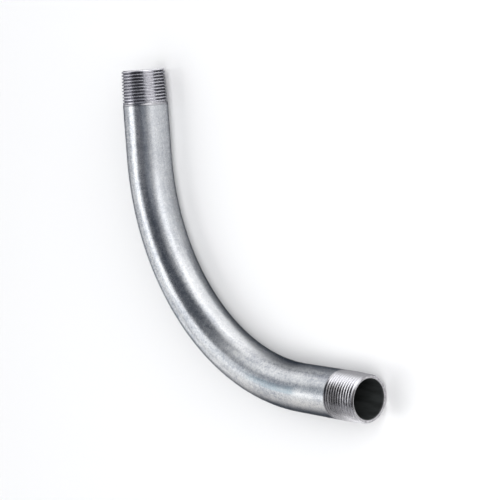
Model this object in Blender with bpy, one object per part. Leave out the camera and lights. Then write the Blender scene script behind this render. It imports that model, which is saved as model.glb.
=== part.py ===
"""Ninety degree elbow of galvanised steel conduit, threaded at both ends, lying on its side."""

import math

import bmesh
import bpy
from mathutils import Matrix, Vector

MM = 0.001
INCH = 25.4 * MM

# Tube of the three quarter inch trade size
OUTER_DIAMETER = 1.05 * INCH
WALL = 0.107 * INCH
REAM = 0.4 * MM

# Bend: both legs are measured from the corner where their centrelines would meet
BEND_RADIUS = 125.5 * MM
LEG_REACH = 177.0 * MM

# Tapered thread, 1 in 16 on the diameter, with 60 degree flanks
PITCH = INCH / 14
RADIAL_TAPER = 1 / 32
FLANK_SLOPE = math.tan(math.radians(30))
SHARP_HEIGHT = PITCH / (2 * FLANK_SLOPE)
CREST_TRUNCATION = 0.07 * PITCH
ROOT_TRUNCATION = 0.033 * PITCH
THREAD_LENGTH = 20.5 * MM
RUN_OUT = 1.2 * PITCH
BAND_LENGTH = THREAD_LENGTH + PITCH
CHAMFER = 0.57 * MM
CHAMFER_SLOPE = 0.5

# Where each thread starts round its leg, as a share of a turn
THREAD_START_X = 0.45
THREAD_START_Y = 0.0

# Facets, the least distance from a thread's edge to the end face, and the shallowest groove
SIDES = 40
BEND_STEPS = 22
LEAST_STEP = 0.1 * MM
LEAST_GROOVE = 0.04 * MM
SETTLING_STEPS = 40

# A thread line numbers its edges four to a groove, between the end face and the plain tube
EDGES_A_GROOVE = 4
END_FACE = -math.inf
PLAIN_TUBE = math.inf

TUBE_RADIUS = OUTER_DIAMETER / 2
BORE_RADIUS = TUBE_RADIUS - WALL
MOUTH_RADIUS = BORE_RADIUS + REAM
STRAIGHT = LEG_REACH - BEND_RADIUS
CENTRE_OFFSET = (LEG_REACH - TUBE_RADIUS) / 2

# Radii at the end face, from the standard rule for the pitch cone of tapered pipe threads
PITCH_RADIUS = TUBE_RADIUS - (0.05 * OUTER_DIAMETER / INCH + 1.1) * PITCH / 2
CREST_RADIUS = PITCH_RADIUS + SHARP_HEIGHT / 2 - CREST_TRUNCATION
SHARP_ROOT_RADIUS = PITCH_RADIUS - SHARP_HEIGHT / 2
ROOT_RADIUS = SHARP_ROOT_RADIUS + ROOT_TRUNCATION
RIM_RADIUS = CREST_RADIUS - CHAMFER


def new_collection(name):
    collection = bpy.data.collections.new(name)
    bpy.context.scene.collection.children.link(collection)
    return collection


def crest_at(depth):
    """Radius of the blank at a depth from the end face: chamfer, cone of the crests, then tube."""
    chamfer = RIM_RADIUS + depth * CHAMFER_SLOPE
    return min(chamfer, CREST_RADIUS + depth * RADIAL_TAPER, TUBE_RADIUS)


def floor_at(depth):
    """Radius of the groove's floor, which follows the taper and then rises to the tube's surface."""
    last = ROOT_RADIUS + THREAD_LENGTH * RADIAL_TAPER
    share = max(0.0, (depth - THREAD_LENGTH + RUN_OUT) / RUN_OUT)
    return min(ROOT_RADIUS + depth * RADIAL_TAPER + share * (TUBE_RADIUS - last), TUBE_RADIUS)


def flank_reach(centre, side, limit):
    """Distance from the groove's centre to where its flank on one side meets a limiting radius."""
    apex = SHARP_ROOT_RADIUS + centre * RADIAL_TAPER
    reach = 0.0
    for _ in range(SETTLING_STEPS):
        reach = (limit(centre + side * reach) - apex) * FLANK_SLOPE
    return reach


def end_radius(centre):
    """Radius at the end face, which a groove near it notches."""
    flank = SHARP_ROOT_RADIUS + centre * RADIAL_TAPER + abs(centre) / FLANK_SLOPE
    return min(crest_at(0), max(floor_at(0), flank))


def thread_line(turn):
    """Edges met down one line of the threaded end, as (number, depth, radius) at a share of a turn.

    Grooves are numbered from the end face, and the count allows one to spare at each side.
    """
    nearest = turn % 1.0 * PITCH
    line = [(END_FACE, 0.0, min(end_radius(nearest), end_radius(nearest - PITCH)))]
    for groove in range(-1, math.ceil(THREAD_LENGTH / PITCH) + 2):
        centre = (groove + turn) * PITCH
        if crest_at(centre) - floor_at(centre) < LEAST_GROOVE:
            continue
        edges = ((-1, crest_at), (-1, floor_at), (1, floor_at), (1, crest_at))
        for place, (side, limit) in enumerate(edges):
            depth = centre + side * flank_reach(centre, side, limit)
            shallow = limit is floor_at and crest_at(depth) - floor_at(depth) < LEAST_GROOVE
            if depth > LEAST_STEP and not shallow:
                line.append((EDGES_A_GROOVE * groove + place, depth, limit(depth)))
    line.append((PLAIN_TUBE, BAND_LENGTH, TUBE_RADIUS))
    return line


def skin_between(bm, line, following):
    """Faces between two neighbouring lines, which share most but not all of their edges."""
    shared = sorted(set(line) & set(following))
    for top, bottom in zip(shared, shared[1:]):
        down = [line[number] for number in sorted(line) if top <= number <= bottom]
        up = [following[number] for number in sorted(following, reverse=True) if top <= number <= bottom]
        bm.faces.new(down + up)


def add_threaded_end(bm, placement, start):
    """The threaded skin of a leg's end and its flat face. The leg's axis is +Z, out of its end."""
    lines = []
    mouth = []
    for column in range(SIDES):
        spot = placement @ Matrix.Rotation(math.tau * column / SIDES, 4, "Z")
        line = thread_line(start - column / SIDES)
        lines.append({number: bm.verts.new(spot @ Vector((r, 0, -d))) for number, d, r in line})
        mouth.append(bm.verts.new(spot @ Vector((MOUTH_RADIUS, 0, 0))))

    # A full turn on, each groove is met as the next one
    lines.append({number + EDGES_A_GROOVE: vert for number, vert in lines[0].items()})
    mouth.append(mouth[0])
    for column in range(SIDES):
        skin_between(bm, lines[column], lines[column + 1])
        rim = lines[column][END_FACE], lines[column + 1][END_FACE]
        bm.faces.new((rim[0], rim[1], mouth[column + 1], mouth[column]))


def extruded_ring(bm, edges, centre, target, growth):
    """Extrude a ring of edges from its centre to target and scale it there."""
    made = bmesh.ops.extrude_edge_only(bm, edges=edges)["geom"]
    verts = [item for item in made if isinstance(item, bmesh.types.BMVert)]
    ring = [item for item in made if isinstance(item, bmesh.types.BMEdge)]
    bmesh.ops.translate(bm, vec=Vector(target) - Vector(centre), verts=verts)
    about_target = Matrix.Translation(-Vector(target))
    bmesh.ops.scale(bm, vec=(growth, growth, growth), space=about_target, verts=verts)
    return ring


def add_swept_skin(bm, mouth):
    """Sweep a circle down one leg, round the bend and out along the other leg.

    The mouth lists the depth and radius of each change of section near an end.
    """
    stations = mouth + [(STRAIGHT, mouth[-1][1])]
    start = Matrix.Translation((0, LEG_REACH - mouth[0][0], 0)) @ Matrix.Rotation(math.radians(-90), 4, "X")
    circle = bmesh.ops.create_circle(bm, segments=SIDES, radius=mouth[0][1], matrix=start)
    ring = list({edge for vert in circle["verts"] for edge in vert.link_edges})
    for (depth, radius), (further, changed) in zip(stations, stations[1:]):
        here = (0, LEG_REACH - depth, 0)
        there = (0, LEG_REACH - further, 0)
        ring = extruded_ring(bm, ring, here, there, changed / radius)
    turned = bmesh.ops.spin(
        bm,
        geom=ring,
        cent=(BEND_RADIUS, BEND_RADIUS, 0),
        axis=(0, 0, 1),
        angle=math.radians(90),
        steps=BEND_STEPS,
    )
    ring = [item for item in turned["geom_last"] if isinstance(item, bmesh.types.BMEdge)]
    stations.reverse()
    for (depth, radius), (nearer, changed) in zip(stations, stations[1:]):
        here = (LEG_REACH - depth, 0, 0)
        there = (LEG_REACH - nearer, 0, 0)
        ring = extruded_ring(bm, ring, here, there, changed / radius)


def elbow_mesh():
    """The bent tube with its bore and its two threaded ends, about the corner of its centrelines."""
    end_x = Matrix.Translation((LEG_REACH, 0, 0)) @ Matrix.Rotation(math.radians(90), 4, "Y")
    half_turn = Matrix.Rotation(math.radians(180), 4, Vector((1, 1, 0)))
    bm = bmesh.new()
    add_swept_skin(bm, [(BAND_LENGTH, TUBE_RADIUS)])
    add_swept_skin(bm, [(0, MOUTH_RADIUS), (REAM, BORE_RADIUS)])
    add_threaded_end(bm, end_x, THREAD_START_X)
    add_threaded_end(bm, half_turn @ end_x, THREAD_START_Y)
    bmesh.ops.remove_doubles(bm, verts=bm.verts, dist=0.01 * MM)
    bmesh.ops.recalc_face_normals(bm, faces=bm.faces)
    mesh = bpy.data.meshes.new("elbow")
    bm.to_mesh(mesh)
    bm.free()
    return mesh


def zinc_material():
    material = bpy.data.materials.new("galvanised_zinc")
    material.use_nodes = True
    shader = material.node_tree.nodes["Principled BSDF"]
    shader.inputs["Base Color"].default_value = (0.60, 0.61, 0.64, 1.0)
    shader.inputs["Metallic"].default_value = 1.0
    shader.inputs["Roughness"].default_value = 0.33
    return material


for old in list(bpy.data.objects):
    bpy.data.objects.remove(old)

elbow = bpy.data.objects.new("elbow", elbow_mesh())
new_collection("conduit_elbow").objects.link(elbow)
elbow.data.shade_smooth()
elbow.data.set_sharp_from_angle(angle=math.radians(30))
elbow.data.materials.append(zinc_material())

# The tube lies with its bend level, and its box is centred over the origin
elbow.location = (-CENTRE_OFFSET, -CENTRE_OFFSET, TUBE_RADIUS)
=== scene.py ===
"""Looks of a galvanised conduit elbow that lies on a pale floor, threaded at both ends."""

import math

import bpy
from mathutils import Euler, Matrix, Vector


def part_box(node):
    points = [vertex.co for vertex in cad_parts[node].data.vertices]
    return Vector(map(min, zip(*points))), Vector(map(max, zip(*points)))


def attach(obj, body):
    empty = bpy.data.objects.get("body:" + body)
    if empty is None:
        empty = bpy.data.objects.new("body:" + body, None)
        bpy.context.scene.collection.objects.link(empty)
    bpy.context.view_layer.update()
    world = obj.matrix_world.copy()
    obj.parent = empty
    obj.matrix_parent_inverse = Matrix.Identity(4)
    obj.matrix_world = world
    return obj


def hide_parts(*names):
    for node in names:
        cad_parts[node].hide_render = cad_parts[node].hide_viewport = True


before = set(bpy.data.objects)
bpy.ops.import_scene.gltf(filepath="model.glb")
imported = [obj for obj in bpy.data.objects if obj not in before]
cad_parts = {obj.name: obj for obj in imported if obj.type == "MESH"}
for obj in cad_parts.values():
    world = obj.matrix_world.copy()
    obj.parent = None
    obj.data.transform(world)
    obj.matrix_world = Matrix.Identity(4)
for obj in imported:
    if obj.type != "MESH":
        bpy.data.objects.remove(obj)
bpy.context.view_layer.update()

MM = 0.001
INCH = 25.4 * MM

# Tube: its radius, place and reach come from the solid that the finished piece stands for
LOWEST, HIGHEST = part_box("elbow")
TUBE_RADIUS = (HIGHEST.z - LOWEST.z) / 2
CORNER = LOWEST + Vector((TUBE_RADIUS, TUBE_RADIUS, TUBE_RADIUS))
LEG_REACH = HIGHEST.x - CORNER.x
BEND_RADIUS = 125.5 * MM
WALL = 0.107 * INCH
BORE_RADIUS = TUBE_RADIUS - WALL
REAM = 0.4 * MM
MOUTH_RADIUS = BORE_RADIUS + REAM

# Tapered pipe thread, fourteen turns to the inch
PITCH = INCH / 14
RADIAL_TAPER = 1 / 32
FLANK_SLOPE = math.tan(math.radians(30))
SHARP_HEIGHT = PITCH / (2 * FLANK_SLOPE)
CREST_CUT = 0.07 * PITCH
ROOT_CUT = 0.033 * PITCH
PITCH_RADIUS = TUBE_RADIUS - (0.1 * TUBE_RADIUS / INCH + 1.1) * PITCH / 2
CREST_RADIUS = PITCH_RADIUS + SHARP_HEIGHT / 2 - CREST_CUT
SHARP_ROOT_RADIUS = PITCH_RADIUS - SHARP_HEIGHT / 2
ROOT_RADIUS = SHARP_ROOT_RADIUS + ROOT_CUT
THREAD_HEIGHT = CREST_RADIUS - ROOT_RADIUS
THREAD_LENGTH = 20.5 * MM
RUN_OUT = 1.2 * PITCH
THREAD_START_X = 0.45
THREAD_START_Y = 0.0
BAND_LENGTH = THREAD_LENGTH + 0.2 * MM
CHAMFER = 0.57 * MM
CHAMFER_SLOPE = 0.5
RIM_RADIUS = CREST_RADIUS - CHAMFER
EDGE_WEAR = 0.1 * MM

# Fineness of the mesh. The shares place a thread's points between its root and its crest
SIDES = 128
BEND_STEPS = 64
FLANK_SHARES = (0.0, 0.04, 0.1, 0.22, 0.38, 0.54, 0.7, 0.84, 0.93)
TURNS = math.ceil(BAND_LENGTH / PITCH) + 2
BRIDGE_GAP = 0.5 * MM
SAME_PLACE = 0.001 * MM
NEAR_PLACE = 0.005 * MM
SMOOTH_ANGLE = math.radians(40)

# Places of the skin's and the cut faces' finishes in the elbow's list of materials
SKIN_SLOT = 0
CUT_FACE_SLOT = 3

# Places along the tube before bending are counted from the start of the bend
STRAIGHT = LEG_REACH - BEND_RADIUS
HALF_LENGTH = STRAIGHT + BEND_RADIUS * math.pi / 4
MIDDLE = BEND_RADIUS * math.pi / 4

# Zones of the coat: each passes from nothing to the full between two places along the tube
CALM_BEGINS = (-110 * MM, -165 * MM)
LINE_BEGINS = (-70 * MM, -20 * MM)
LINE_ENDS = (18 * MM, 2 * MM)
OUTER_BEGINS = (-90 * MM, -10 * MM)
# Zones of painted shade along the outer and inner edges
OUTER_EDGE_BEGINS = (-50 * MM, -5 * MM)
INNER_EDGE_BEGINS = (-205 * MM, -165 * MM)
INNER_EDGE_DARKENS = (-160 * MM, -100 * MM)
INNER_EDGE_WIDENS = (-90 * MM, 0.0)
INNER_EDGE_DEEPENS = (-35 * MM, -10 * MM)
INNER_EDGE_FADES = (-6 * MM, 12 * MM)
# Zone of a painted highlight on the inner side of the bend
HIGHLIGHT_BEGINS = (-150 * MM, -110 * MM)
HIGHLIGHT_ENDS = (-20 * MM, -50 * MM)
LOWER_BEGINS = (0.0, 1 * MM)
BACK_BEGINS = (47 * MM, 35 * MM)
MOUTH_DARK_BEGINS = (STRAIGHT - 0.9 * MM, STRAIGHT - 0.3 * MM)

# Rings: beside each thread and over its run-out by distance from the middle, and round the mouth by radius
THREAD_END = HALF_LENGTH - THREAD_LENGTH
BAND_END = HALF_LENGTH - BAND_LENGTH
DULL_RING = (BAND_END - 0.7 * MM, BAND_END - 0.2 * MM)
DULL_RUN_OUT = (THREAD_END + RUN_OUT, THREAD_END)
MOUTH_RING = (MOUTH_RADIUS + 0.42 * MM, MOUTH_RADIUS + 0.22 * MM)

# Colours of the zinc. The edge tint is the share of the reflection that it keeps at a grazing view
EDGE_TINT = (0.14, 0.15, 0.17, 1.0)
COAT_DARK = (0.38, 0.40, 0.44, 1.0)
COAT_BRIGHT = (0.69, 0.70, 0.71, 1.0)
# Painted shade of the edges, also used for the duller ring beside each thread
COAT_DULL_AND_SHADE = (0.175, 0.18, 0.19, 1.0)
COAT_WEATHERED = (0.28, 0.36, 0.41, 1.0)
# Painted highlight on the inner side of the bend
HIGHLIGHT_DARK = (0.72, 0.73, 0.75, 1.0)
HIGHLIGHT_BRIGHT = (0.86, 0.87, 0.88, 1.0)
NO_TINT = (1.0, 1.0, 1.0, 1.0)
WARM_TINT = (1.04, 1.01, 0.98, 1.0)
THREAD_CREST = (0.785, 0.78, 0.815, 1.0)
THREAD_ROOT = (0.69, 0.685, 0.72, 1.0)
# Painted highlight in the upper thread's grooves, and the shine of the lower thread's outer side
THREAD_SHINE_AND_HIGHLIGHT = (0.94, 0.93, 0.95, 1.0)
# Painted shade along the lower thread's inner edge, also used where the threads run out
THREAD_DULL_AND_SHADE = (0.22, 0.215, 0.225, 1.0)
# Painted shade in the grooves, also used for the darker mouth
SHADE_AND_MOUTH_TONE = (0.10, 0.095, 0.10, 1.0)
STAIN = (0.40, 0.395, 0.41, 1.0)
BACK_STAIN = (0.24, 0.235, 0.24, 1.0)
CUT_DARK = (0.34, 0.33, 0.34, 1.0)
CUT_BRIGHT = (0.62, 0.61, 0.63, 1.0)
CUT_TOP_DARK = (0.03, 0.03, 0.032, 1.0)
MOUTH_EDGE = (0.46, 0.455, 0.47, 1.0)
# Near-black painted shade in the bore
BORE_SHADE_DARK = (0.013, 0.014, 0.014, 1.0)
BORE_SHADE_BRIGHT = (0.032, 0.035, 0.035, 1.0)

# Camera, as it stood before the photographed elbow
CAMERA_PLACE = Vector((682.607, 96.972, 570.072)) * MM
CAMERA_TURN = Euler([math.radians(angle) for angle in (-11.396, 49.926, -5.928)])
CAMERA_LENS = 114.139
SENSOR_WIDTH = 36

# Floor, which passes into plain white between two distances from the elbow
FLOOR_RADIUS = 6.0
FLOOR_SIDES = 96
FLOOR_GAP = 0.2 * MM
FLOOR_TONE = (0.90, 0.90, 0.90, 1.0)
WHITE = (1.0, 1.0, 1.0, 1.0)
WHITE_FROM = 0.35
WHITE_BY = 0.9

# Room. Walls pass into the ceiling between two heights of the view. Each patch is a compass place, a reach
# and a soft edge in degrees, and a tone
CEILING_FROM = 0.10
CEILING_BY = 0.85
WALL_TONE = (1.35, 1.35, 1.36, 1.0)
CEILING_TONE = (0.095, 0.105, 0.125, 1.0)
PATCHES = (
    (-70, 20, 42, 12, (0.42, 0.42, 0.44, 1.0)),
    (-32, 18, 20, 7, (0.14, 0.14, 0.15, 1.0)),
    (80, -10, 27, 9, (1.65, 1.65, 1.65, 1.0)),
    (30, 3, 16, 14, (1.9, 1.9, 1.9, 1.0)),
    (94, 50, 24, 10, (0.080, 0.090, 0.11, 1.0)),
    (7, 50, 10, 8, (0.34, 0.36, 0.40, 1.0)),
    (-50, 80, 9, 9, (0.26, 0.26, 0.28, 1.0)),
    (135, 28, 12, 12, (1.3, 1.3, 1.3, 1.0)),
    (-150, 28, 16, 12, (1.05, 1.05, 1.05, 1.0)),
    (-162, 10, 6, 6, (2.0, 2.0, 2.0, 1.0)),
    (137, 3, 8, 6, (0.95, 0.95, 0.98, 1.0)),
    (-172, 58, 17, 7, (2.3, 2.3, 2.3, 1.0)),
    (-176, 4, 8, 5, (0.72, 0.72, 0.74, 1.0)),
    (171, 41, 9, 7, (0.39, 0.43, 0.48, 1.0)),
)

# Lamp that whitens the floor
LAMP_WIDTH = 3.0
LAMP_PLACE = (1.75, 0.45, 1.60)
LAMP_RADIANCE = 2.7


class Value:
    """A socket of a node, with arithmetic that adds Math nodes."""

    def __init__(self, nodes, socket):
        self.nodes = nodes
        self.socket = socket

    def math(self, operation, *inputs):
        return self.nodes.add("Math", {"operation": operation}, dict(enumerate(inputs)))

    def __add__(self, other):
        return self.math("ADD", self, other)

    __radd__ = __add__

    def __mul__(self, other):
        return self.math("MULTIPLY", self, other)

    __rmul__ = __mul__

    def __sub__(self, other):
        return self.math("SUBTRACT", self, other)

    def __rsub__(self, other):
        return self.math("SUBTRACT", other, self)

    def __truediv__(self, other):
        return self.math("DIVIDE", self, other)

    def highest(self, other):
        return self.math("MAXIMUM", self, other)

    def size(self):
        return self.math("ABSOLUTE", self)

    def ramp(self, start, end):
        """Zero before start and one after end, with a smooth way between. Start may be the larger."""
        settings = {"interpolation_type": "SMOOTHSTEP"}
        if start < end:
            return self.nodes.add("MapRange", settings, {"Value": self, "From Min": start, "From Max": end})
        return 1 - self.ramp(end, start)


class Nodes:
    """The node tree of a material or of the world."""

    def __init__(self, tree):
        self.tree = tree

    def feed(self, socket, value):
        if isinstance(value, Value):
            self.tree.links.new(value.socket, socket)
        else:
            socket.default_value = value

    def add(self, kind, settings, inputs, output=0):
        """Add a node, set it up, give its sockets values or links, and return one of its outputs."""
        node = self.tree.nodes.new("ShaderNode" + kind)
        for name, setting in settings.items():
            setattr(node, name, setting)
        for name, value in inputs.items():
            self.feed(node.inputs[name], value)
        return Value(self, node.outputs[output])

    def scaled(self, vector, scale):
        return self.add("VectorMath", {"operation": "MULTIPLY"}, {0: vector, 1: scale})

    def length(self, vector):
        return self.add("VectorMath", {"operation": "LENGTH"}, {0: vector}, output=1)

    def mix(self, share, first, second):
        """One colour passing into another."""
        sockets = {"Factor": share, 6: first, 7: second}
        return self.add("Mix", {"data_type": "RGBA"}, sockets, output=2)

    def noise(self, vector, size, detail=3.0, roughness=0.55):
        """Cloudy noise with features of about a size in metres, round a half."""
        sockets = {"Vector": vector, "Scale": 1 / size, "Detail": detail, "Roughness": roughness}
        return self.add("TexNoise", {}, sockets)


class Finish(Nodes):
    """A material with one Principled shader."""

    def __init__(self, name):
        self.material = bpy.data.materials.new(name)
        self.material.use_nodes = True
        super().__init__(self.material.node_tree)
        self.shader = self.tree.nodes["Principled BSDF"]

    def set(self, values):
        for name, value in values.items():
            self.feed(self.shader.inputs[name], value)

    def attribute(self, name, vector=False):
        return self.add("Attribute", {"attribute_name": name}, {}, output=1 if vector else 2)

    def unbent_parts(self, place):
        """Where a place lay before bending: its side, its height and its length along the tube.

        The side goes from -1 at the inside of the bend to 1 at its outside, and the height from -1 to 1.
        """
        outputs = self.add("SeparateXYZ", {}, {"Vector": place}).socket.node.outputs
        side, height, along = [Value(self, outputs[axis]) for axis in "XYZ"]
        return side / TUBE_RADIUS, height / TUBE_RADIUS, along

    def bump(self, height, distance):
        sockets = {"Strength": 1.0, "Distance": distance, "Height": height}
        self.set({"Normal": self.add("Bump", {}, sockets)})


def skin_finish():
    """Hot-dip zinc with a grain, a mottle and streaks, in duller and brighter zones.

    It is calmer on the inner side of the upper leg, weathered along a line on the lower leg, and duller in a
    ring beside each thread. Painted shade darkens the edges of the lower leg and the inner edge of the bend,
    and a painted highlight lightens a band on the inner side of the bend.
    """
    finish = Finish("galvanised_skin")
    place = finish.attribute("unbent", vector=True)
    side, height, along = finish.unbent_parts(place)
    grain = finish.noise(place, 0.6 * MM, detail=2.0)
    mottle = finish.noise(place, 2.8 * MM, detail=4.0, roughness=0.6)
    patches = finish.noise(finish.scaled(place, (1.0, 1.0, 0.25)), 9 * MM, detail=2.0)
    streaks = finish.noise(finish.scaled(place, (1.0, 1.0, 0.08)), 1.1 * MM, detail=3.0)
    ripples = finish.noise(finish.scaled(place, (0.25, 0.25, 1.0)), 1.6 * MM, detail=1.0)
    cells = finish.add("TexVoronoi", {"feature": "F1"}, {"Vector": place, "Scale": 1 / (0.9 * MM)}, output=1)
    crystals = finish.add("SeparateColor", {}, {"Color": cells})
    clouds = finish.noise(finish.scaled(place, (1.0, 1.0, 0.5)), 14 * MM, detail=2.0)

    # Tone of the coat
    tone = mottle * 0.40 + grain * 0.26 + streaks * 0.32 + clouds * 0.42 - 0.18 + (crystals - 0.5) * 0.14
    calm = side.ramp(0.0, -0.4) * height.ramp(0.75, 0.35) * along.ramp(*CALM_BEGINS) * 0.5
    tone = 0.5 + (tone - 0.5) * (1 - calm)
    tone = tone.ramp(0.3, 0.7)
    coat = finish.mix(tone, COAT_DARK, COAT_BRIGHT)

    # Zones, by side, height and place along the tube
    line = (side + 0.12).size().ramp(0.32, 0.08) * along.ramp(*LINE_BEGINS) * along.ramp(*LINE_ENDS)
    weathered = (line * (mottle + patches)).ramp(0.5, 1.1) * 0.65
    outer = side.ramp(0.05, 0.4) * along.ramp(*OUTER_BEGINS)
    # Painted shade: the lower leg's outer edge and the inner edge of the bend and lower leg are darkened
    outer_edge_shade = side.ramp(0.25, 0.72) * along.ramp(*OUTER_EDGE_BEGINS)
    under = (along.ramp(*INNER_EDGE_WIDENS) * 0.60 - 0.05 - height).ramp(-0.10, 0.25) * side.ramp(-0.3, -0.5)
    inner_edge_shade = under * (0.45 * along.ramp(*INNER_EDGE_BEGINS) + 0.55 * along.ramp(*INNER_EDGE_DARKENS))
    shade_deepening = 0.20 * along.ramp(*INNER_EDGE_DEEPENS)
    inner_edge_shade = inner_edge_shade * (0.75 + shade_deepening - 0.30 * along.ramp(*INNER_EDGE_FADES))
    ring = (along + MIDDLE).size().ramp(*DULL_RING)
    shade_and_dull = (outer_edge_shade * 0.78).highest(inner_edge_shade).highest(ring * 0.52)
    # Painted highlight: a lighter band on the inner side of the bend
    worn = along.ramp(*HIGHLIGHT_BEGINS) * along.ramp(*HIGHLIGHT_ENDS) * side.ramp(-0.6, -0.85)
    painted_highlight = worn * height.ramp(0.55, 0.3) * height.ramp(-0.15, 0.05)

    coat = finish.mix(painted_highlight, coat, finish.mix(tone, HIGHLIGHT_DARK, HIGHLIGHT_BRIGHT))
    coat = finish.scaled(coat, finish.mix(outer, NO_TINT, WARM_TINT))
    coat = finish.mix(weathered, coat, COAT_WEATHERED)
    finish.set({
        "Base Color": finish.mix(shade_and_dull, coat, COAT_DULL_AND_SHADE),
        "Metallic": 1.0,
        "Specular Tint": EDGE_TINT,
        "Roughness": 0.19 + 0.09 * mottle + 0.07 * grain,
    })
    relief = patches * 0.8 + mottle * 0.05 + grain * 0.02 + streaks * 0.05 + outer * ripples * 0.10
    finish.bump(relief, 0.20 * MM)
    return finish.material


def thread_finish():
    """Zinc on the cut threads, with painted shade and highlight. The lower one is also stained on its outer
    side.
    """
    finish = Finish("zinc_on_threads")
    place = finish.attribute("unbent", vector=True)
    side, height, along = finish.unbent_parts(place)
    groove = finish.attribute("groove")
    grain = finish.noise(place, 0.5 * MM, detail=2.0)
    mottle = finish.noise(place, 2.0 * MM, detail=4.0, roughness=0.6)

    # Painted highlight: lightened grooves on part of the upper thread's inner side. Shine on the lower
    # thread's outer side
    lower = along.ramp(*LOWER_BEGINS)
    inner = (1 - lower) * side.ramp(0.0, -0.25)
    highlight_and_shine = inner * height.ramp(0.58, 0.46) * height.ramp(0.06, 0.18)
    depth = groove.ramp(0.15, 0.95)
    clean = finish.mix(depth, THREAD_CREST, THREAD_ROOT)
    highlight_and_shine = (highlight_and_shine * depth).highest(lower * side.ramp(0.0, 0.35))
    clean = finish.mix(highlight_and_shine, clean, THREAD_SHINE_AND_HIGHLIGHT)

    # Painted shade in two strips of the upper thread's grooves and one of the lower thread's; darker at its
    # mouth
    upper_strips = height.ramp(0.93, 0.84) * height.ramp(0.50, 0.62)
    upper_strips = upper_strips + height.ramp(0.14, 0.0) * height.ramp(-0.85, -0.55)
    upper_groove_shade = inner * upper_strips * groove.ramp(0.35, 0.8) * 0.5
    lower_strip = lower * side.ramp(-0.75, -0.45) * side.ramp(0.32, 0.02)
    back = along.ramp(*BACK_BEGINS)
    lower_groove_shade = lower_strip * (groove + mottle * 0.8 + back * 0.35).ramp(0.35, 0.95)
    mouth_darkening = lower_strip * along.ramp(*MOUTH_DARK_BEGINS)
    shade_and_mouth_dark = upper_groove_shade.highest(lower_groove_shade * 0.97).highest(mouth_darkening)
    zinc = finish.mix(shade_and_mouth_dark, clean, SHADE_AND_MOUTH_TONE)

    # Stain on the lower thread, painted shade along its inner edge, and duller where it runs out
    stained = lower * side.ramp(-0.1, 0.3) * (mottle * 0.8 + grain * 0.2 - back * 0.06).ramp(0.53, 0.41)
    stain = stained * (0.25 + back * 0.35)
    zinc = finish.mix(stain, zinc, STAIN)
    back_stain = lower * back * mottle.ramp(0.30, 0.60) * side.ramp(-0.75, -0.45) * 0.6
    zinc = finish.mix(back_stain, zinc, BACK_STAIN)
    # Painted shade along the lower thread's inner edge
    shade_and_dull = lower * side.ramp(-0.70, -0.88) * height.ramp(0.50, 0.15) * 0.8
    run_out = (along + MIDDLE).size().ramp(*DULL_RUN_OUT)
    finish.set({
        "Base Color": finish.mix(shade_and_dull.highest(run_out * 0.55), zinc, THREAD_DULL_AND_SHADE),
        "Metallic": 1.0,
        "Specular Tint": EDGE_TINT,
        "Roughness": 0.16 + 0.12 * mottle + 0.10 * groove + 0.15 * stained,
    })
    finish.bump(mottle * 0.3 + grain * 0.12, 0.12 * MM)
    return finish.material


def cut_face_finish():
    """The cut steel of each end under thin zinc, darker near its top and even round the reamed mouth."""
    finish = Finish("zinc_on_cut_face")
    place = finish.attribute("unbent", vector=True)
    side, height, along = finish.unbent_parts(place)
    across = finish.length(finish.scaled(place, (1.0, 1.0, 0.0)))
    grain = finish.noise(place, 0.5 * MM, detail=2.0)
    mottle = finish.noise(place, 2.0 * MM, detail=3.0)
    zinc = finish.mix(mottle.ramp(0.3, 0.7), CUT_DARK, CUT_BRIGHT)
    # Darker near the top of the face
    darker_top = height.ramp(0.1, 0.4) * side.ramp(-0.65, -0.35) * side.ramp(0.45, 0.15)
    zinc = finish.mix(darker_top * 0.92, zinc, CUT_TOP_DARK)
    edge = across.ramp(*MOUTH_RING)
    finish.set({
        "Base Color": finish.mix(edge, zinc, MOUTH_EDGE),
        "Metallic": 1.0,
        "Roughness": 0.26 + 0.14 * grain,
    })
    finish.bump(mottle * 0.4 + grain * 0.15, 0.08 * MM)
    return finish.material


def bore_finish():
    """Near-black painted shade in the bore, with a dim sheen."""
    finish = Finish("bore_painted_shade")
    place = finish.attribute("unbent", vector=True)
    film = finish.noise(finish.scaled(place, (1.0, 1.0, 0.2)), 3.0 * MM, detail=4.0)
    finish.set({
        # Painted shade: the bore is near black
        "Base Color": finish.mix(film.ramp(0.3, 0.7), BORE_SHADE_DARK, BORE_SHADE_BRIGHT),
        "Roughness": 0.45 + 0.2 * film,
        "Specular IOR Level": 0.35,
    })
    finish.bump(film, 0.1 * MM)
    return finish.material


def deselect_all():
    if bpy.context.mode != "OBJECT":
        bpy.ops.object.mode_set(mode="OBJECT")
    bpy.ops.object.select_all(action="DESELECT")


def edit(piece, select="DESELECT"):
    """Open a piece in edit mode, with nothing or all of it selected."""
    deselect_all()
    piece.select_set(True)
    bpy.context.view_layer.objects.active = piece
    bpy.ops.object.mode_set(mode="EDIT")
    bpy.ops.mesh.select_all(action=select)


def extrude_ring(shift, growth=1.0, centre=None):
    """Extrude the selected ring by a shift, and scale it about its new centre."""
    bpy.ops.mesh.extrude_edges_move(TRANSFORM_OT_translate={"value": shift})
    if centre is not None:
        bpy.ops.transform.resize(value=(growth, growth, growth), center_override=centre)


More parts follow.
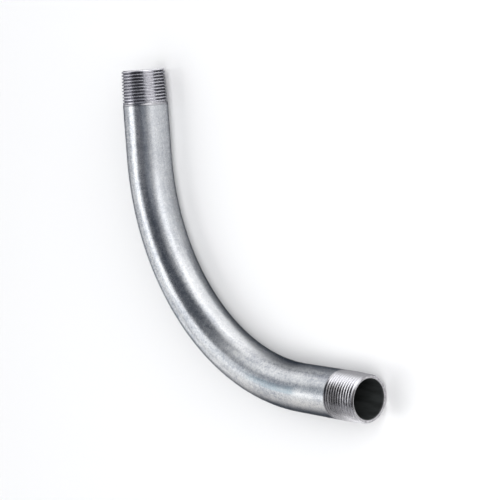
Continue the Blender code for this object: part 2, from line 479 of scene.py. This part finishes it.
def bent_skin(name, material, depth, radius, inner_radius):
    """A skin swept from the X leg's end, round the bend and out along the Y leg.

    It starts at a depth from each end face, where its radius may differ from the tube's own.
    """
    deselect_all()
    start = LEG_REACH - depth
    step = abs(radius - inner_radius)
    bpy.ops.mesh.primitive_circle_add(
        vertices=SIDES,
        radius=radius,
        location=CORNER + Vector((start, 0, 0)),
        rotation=(0, math.radians(90), 0),
    )
    skin = bpy.context.object
    skin.name = name
    skin.data.materials.append(material)
    bpy.ops.object.transform_apply()
    edit(skin, select="SELECT")
    if step > 0:
        extrude_ring((-step, 0, 0), inner_radius / radius, CORNER + Vector((start - step, 0, 0)))
    extrude_ring((BEND_RADIUS - start + step, 0, 0))
    bpy.ops.mesh.spin(
        steps=BEND_STEPS,
        angle=math.radians(90),
        center=CORNER + Vector((BEND_RADIUS, BEND_RADIUS, 0)),
        axis=(0, 0, 1),
    )
    extrude_ring((0, start - step - BEND_RADIUS, 0))
    if step > 0:
        extrude_ring((0, step, 0), radius / inner_radius, CORNER + Vector((0, start, 0)))
    bpy.ops.object.mode_set(mode="OBJECT")
    return skin


def crest_at(depth):
    """Radius of the blank at a depth from the end face: chamfer, cone of the crests, then tube."""
    chamfer = RIM_RADIUS + depth * CHAMFER_SLOPE
    return min(chamfer, CREST_RADIUS + depth * RADIAL_TAPER, TUBE_RADIUS)


def floor_at(depth):
    """Radius of the groove's floor, which follows the taper and then rises to the tube's surface."""
    last = ROOT_RADIUS + THREAD_LENGTH * RADIAL_TAPER
    share = max(0.0, (depth - THREAD_LENGTH + RUN_OUT) / RUN_OUT)
    return min(ROOT_RADIUS + depth * RADIAL_TAPER + share * (TUBE_RADIUS - last), TUBE_RADIUS)


def rounded_highest(first, second):
    """The larger of two lengths, rounded over where they are nearly equal, as a worn edge is."""
    nearness = max(EDGE_WEAR - abs(first - second), 0.0) / EDGE_WEAR
    return max(first, second) + nearness * nearness * EDGE_WEAR / 4


def groove_depth(depth, rise):
    """Depth of the worn groove under the crests, at a rise above the foot of a sharp groove."""
    crest = crest_at(depth)
    sharp = crest - SHARP_ROOT_RADIUS - depth * RADIAL_TAPER - rise
    deepest = crest - floor_at(depth)
    cut = rounded_highest(sharp, 0.0)
    return max(0.0, -rounded_highest(-cut, -deepest))


def threaded_skin(name, material):
    """The thread of a leg's end, cut about the Z axis with its end face at the origin and facing +Z."""
    deselect_all()
    half = [share * PITCH / 2 for share in FLANK_SHARES] + [PITCH / 2]
    heights = [-place for place in reversed(half[1:])] + half
    points = [(TUBE_RADIUS + abs(height) / FLANK_SLOPE, 0, height - TURNS * PITCH) for height in heights]
    mesh = bpy.data.meshes.new(name)
    mesh.from_pydata(points, [(i, i + 1) for i in range(len(points) - 1)], [])
    skin = bpy.data.objects.new(name, mesh)
    bpy.context.scene.collection.objects.link(skin)
    bpy.context.view_layer.objects.active = skin
    helix = skin.modifiers.new("helix", "SCREW")
    helix.axis = "Z"
    helix.angle = math.tau
    helix.screw_offset = PITCH
    helix.iterations = TURNS + 1
    helix.steps = SIDES
    helix.render_steps = SIDES
    helix.use_merge_vertices = False
    bpy.ops.object.modifier_apply(modifier=helix.name)
    edit(skin, select="SELECT")
    bpy.ops.mesh.remove_doubles(threshold=SAME_PLACE)
    bpy.ops.object.mode_set(mode="OBJECT")
    for vert in skin.data.vertices:
        across = math.hypot(vert.co.x, vert.co.y)
        depth = -vert.co.z
        radius = crest_at(depth) - groove_depth(depth, across - TUBE_RADIUS)
        vert.co.x *= radius / across
        vert.co.y *= radius / across
    edit(skin, select="SELECT")
    bpy.ops.mesh.bisect(plane_co=(0, 0, 0), plane_no=(0, 0, 1), clear_outer=True, threshold=SAME_PLACE)
    bpy.ops.mesh.select_all(action="SELECT")
    band_end = (0, 0, -BAND_LENGTH)
    bpy.ops.mesh.bisect(plane_co=band_end, plane_no=(0, 0, 1), clear_inner=True, threshold=SAME_PLACE)
    bpy.ops.object.mode_set(mode="OBJECT")
    skin.data.materials.append(material)
    return skin


def place_at(piece, placement):
    deselect_all()
    piece.select_set(True)
    bpy.context.view_layer.objects.active = piece
    piece.matrix_world = placement
    bpy.ops.object.transform_apply()


def close_loops(piece, depths, leg, close, material_index):
    """Close the skin between open loops that lie at some depths from the end of a leg along X or Y."""
    edit(piece)
    bpy.ops.mesh.select_mode(type="EDGE")
    bpy.ops.mesh.select_non_manifold(
        extend=False,
        use_wire=False,
        use_multi_face=False,
        use_non_contiguous=False,
        use_verts=False,
    )
    bpy.ops.object.mode_set(mode="OBJECT")
    mesh = piece.data
    for edge in mesh.edges:
        if edge.select:
            where = [LEG_REACH - (mesh.vertices[i].co - CORNER)[leg] for i in edge.vertices]
            edge.select = any(all(abs(w - depth) < NEAR_PLACE for w in where) for depth in depths)
    for vert in mesh.vertices:
        vert.select = False
    for edge in mesh.edges:
        if edge.select:
            for i in edge.vertices:
                mesh.vertices[i].select = True
    bpy.ops.object.mode_set(mode="EDIT")
    close()
    piece.active_material_index = material_index
    bpy.ops.object.material_slot_assign()
    bpy.ops.object.mode_set(mode="OBJECT")


def unbend(place):
    """Where a point of the elbow lay before the tube was bent: its section in X and Y, its length in Z."""
    offset = place - CORNER
    if offset.x > BEND_RADIUS and offset.x > offset.y:
        return Vector((-offset.y, offset.z, offset.x - BEND_RADIUS))
    if offset.y > BEND_RADIUS:
        return Vector((-offset.x, offset.z, BEND_RADIUS - offset.y - BEND_RADIUS * math.pi / 2))
    across = Vector((BEND_RADIUS - offset.x, BEND_RADIUS - offset.y))
    turned = math.atan2(across.x, across.y)
    return Vector((across.length - BEND_RADIUS, offset.z, -turned * BEND_RADIUS))


def keep_unbent_places(piece):
    """Attributes for the finishes: the place before bending, and how deep in a groove a point lies."""
    far_end = -BEND_RADIUS * math.pi / 2 - STRAIGHT
    places = [unbend(vert.co) for vert in piece.data.vertices]
    depths = [min(STRAIGHT - place.z, place.z - far_end) for place in places]
    drops = [crest_at(depth) - place.xy.length for place, depth in zip(places, depths)]
    unbent = piece.data.attributes.new("unbent", "FLOAT_VECTOR", "POINT")
    unbent.data.foreach_set("vector", [number for place in places for number in place])
    groove = piece.data.attributes.new("groove", "FLOAT", "POINT")
    groove.data.foreach_set("value", [min(max(drop / THREAD_HEIGHT, 0.0), 1.0) for drop in drops])


def make_elbow():
    """The whole elbow in one closed mesh, which stands for the solid."""
    skin = bent_skin("elbow_tube", skin_finish(), BAND_LENGTH + BRIDGE_GAP, TUBE_RADIUS, TUBE_RADIUS)
    bore = bent_skin("bore", bore_finish(), 0, MOUTH_RADIUS, BORE_RADIUS)
    end_x = Matrix.Translation(CORNER + Vector((LEG_REACH, 0, 0))) @ Matrix.Rotation(math.radians(90), 4, "Y")
    half_turn = Matrix.Rotation(math.radians(180), 4, Vector((1, 1, 0)))
    end_y = Matrix.Translation(CORNER) @ half_turn @ Matrix.Translation(-CORNER) @ end_x
    threads = thread_finish()
    parts = [skin, bore]
    for name, placement, start in (("thread_x", end_x, THREAD_START_X), ("thread_y", end_y, THREAD_START_Y)):
        thread = threaded_skin(name, threads)
        place_at(thread, placement @ Matrix.Rotation(math.tau * start, 4, "Z"))
        parts.append(thread)
    deselect_all()
    for part in parts:
        part.select_set(True)
    bpy.context.view_layer.objects.active = skin
    bpy.ops.object.join()
    skin.data.materials.append(cut_face_finish())
    for leg in (0, 1):
        gap = (BAND_LENGTH, BAND_LENGTH + BRIDGE_GAP)
        close_loops(skin, gap, leg, bpy.ops.mesh.bridge_edge_loops, SKIN_SLOT)
        close_loops(skin, (0,), leg, bpy.ops.mesh.fill, CUT_FACE_SLOT)
    edit(skin, select="SELECT")
    bpy.ops.mesh.normals_make_consistent(inside=False)
    bpy.ops.object.mode_set(mode="OBJECT")
    bpy.ops.object.shade_smooth_by_angle(angle=SMOOTH_ANGLE)
    keep_unbent_places(skin)
    return skin


def floor_finish():
    """Plain pale floor, which passes into a plain white background far from the elbow."""
    finish = Finish("pale_floor")
    finish.set({"Base Color": FLOOR_TONE, "Roughness": 0.3})
    away = finish.length(finish.add("TexCoord", {}, {}, output="Object"))
    rays = finish.add("LightPath", {}, {}).socket.node.outputs
    seen = Value(finish, rays["Is Camera Ray"])
    for name in ("Is Glossy Ray", "Is Transmission Ray"):
        seen = seen.highest(Value(finish, rays[name]))
    white = finish.add("Emission", {}, {"Color": WHITE})
    plain = Value(finish, finish.shader.outputs["BSDF"])
    share = seen * away.ramp(WHITE_FROM, WHITE_BY)
    surface = finish.add("MixShader", {}, {0: share, 1: plain, 2: white})
    finish.feed(finish.tree.nodes["Material Output"].inputs["Surface"], surface)
    return finish.material


def add_floor():
    deselect_all()
    bpy.ops.mesh.primitive_circle_add(
        vertices=FLOOR_SIDES,
        radius=FLOOR_RADIUS,
        fill_type="NGON",
        location=(0, 0, LOWEST.z - FLOOR_GAP),
    )
    floor = bpy.context.object
    floor.name = "floor"
    floor.data.materials.append(floor_finish())


def direction(azimuth, elevation):
    """Unit vector towards a compass place: azimuth from +X towards +Y, elevation above the floor."""
    flat = math.cos(math.radians(elevation))
    turn = math.radians(azimuth)
    return Vector((flat * math.cos(turn), flat * math.sin(turn), math.sin(math.radians(elevation))))


def add_floor_lamp():
    """A wide, soft lamp above the camera's side of the floor, which the metal doesn't mirror."""
    data = bpy.data.lights.new("floor_lamp", "AREA")
    data.size = LAMP_WIDTH
    data.energy = LAMP_RADIANCE * math.pi * LAMP_WIDTH * LAMP_WIDTH
    lamp = bpy.data.objects.new("floor_lamp", data)
    bpy.context.scene.collection.objects.link(lamp)
    lamp.location = LAMP_PLACE
    lamp.rotation_euler = Vector(LAMP_PLACE).to_track_quat("Z", "Y").to_euler()
    lamp.visible_glossy = False


def light_room():
    """The studio: pale walls that pass into a dim ceiling, with soft patches that the metal mirrors."""
    world = bpy.data.worlds.new("studio")
    world.use_nodes = True
    bpy.context.scene.world = world
    room = Nodes(world.node_tree)
    view = room.add("TexCoord", {}, {})
    split = room.add("SeparateXYZ", {}, {"Vector": view})
    height = Value(room, split.socket.node.outputs["Z"])
    tone = room.mix(height.ramp(CEILING_FROM, CEILING_BY), WALL_TONE, CEILING_TONE)
    for azimuth, elevation, reach, edge, colour in PATCHES:
        towards = direction(azimuth, elevation)
        aim = room.add("VectorMath", {"operation": "DOT_PRODUCT"}, {0: view, 1: towards}, output=1)
        share = aim.ramp(math.cos(math.radians(reach + edge)), math.cos(math.radians(reach - edge)))
        tone = room.mix(share, tone, colour)
    background = world.node_tree.nodes["Background"]
    room.feed(background.inputs["Color"], tone)


def add_camera():
    data = bpy.data.cameras.new("camera")
    data.lens = CAMERA_LENS
    data.sensor_width = SENSOR_WIDTH
    camera = bpy.data.objects.new("camera", data)
    bpy.context.scene.collection.objects.link(camera)
    camera.location = CAMERA_PLACE
    camera.rotation_euler = CAMERA_TURN
    bpy.context.scene.camera = camera


add_camera()
elbow = make_elbow()
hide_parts("elbow")
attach(elbow, "root")
add_floor()
light_room()
add_floor_lamp()
bpy.context.scene.view_settings.view_transform = "Standard"
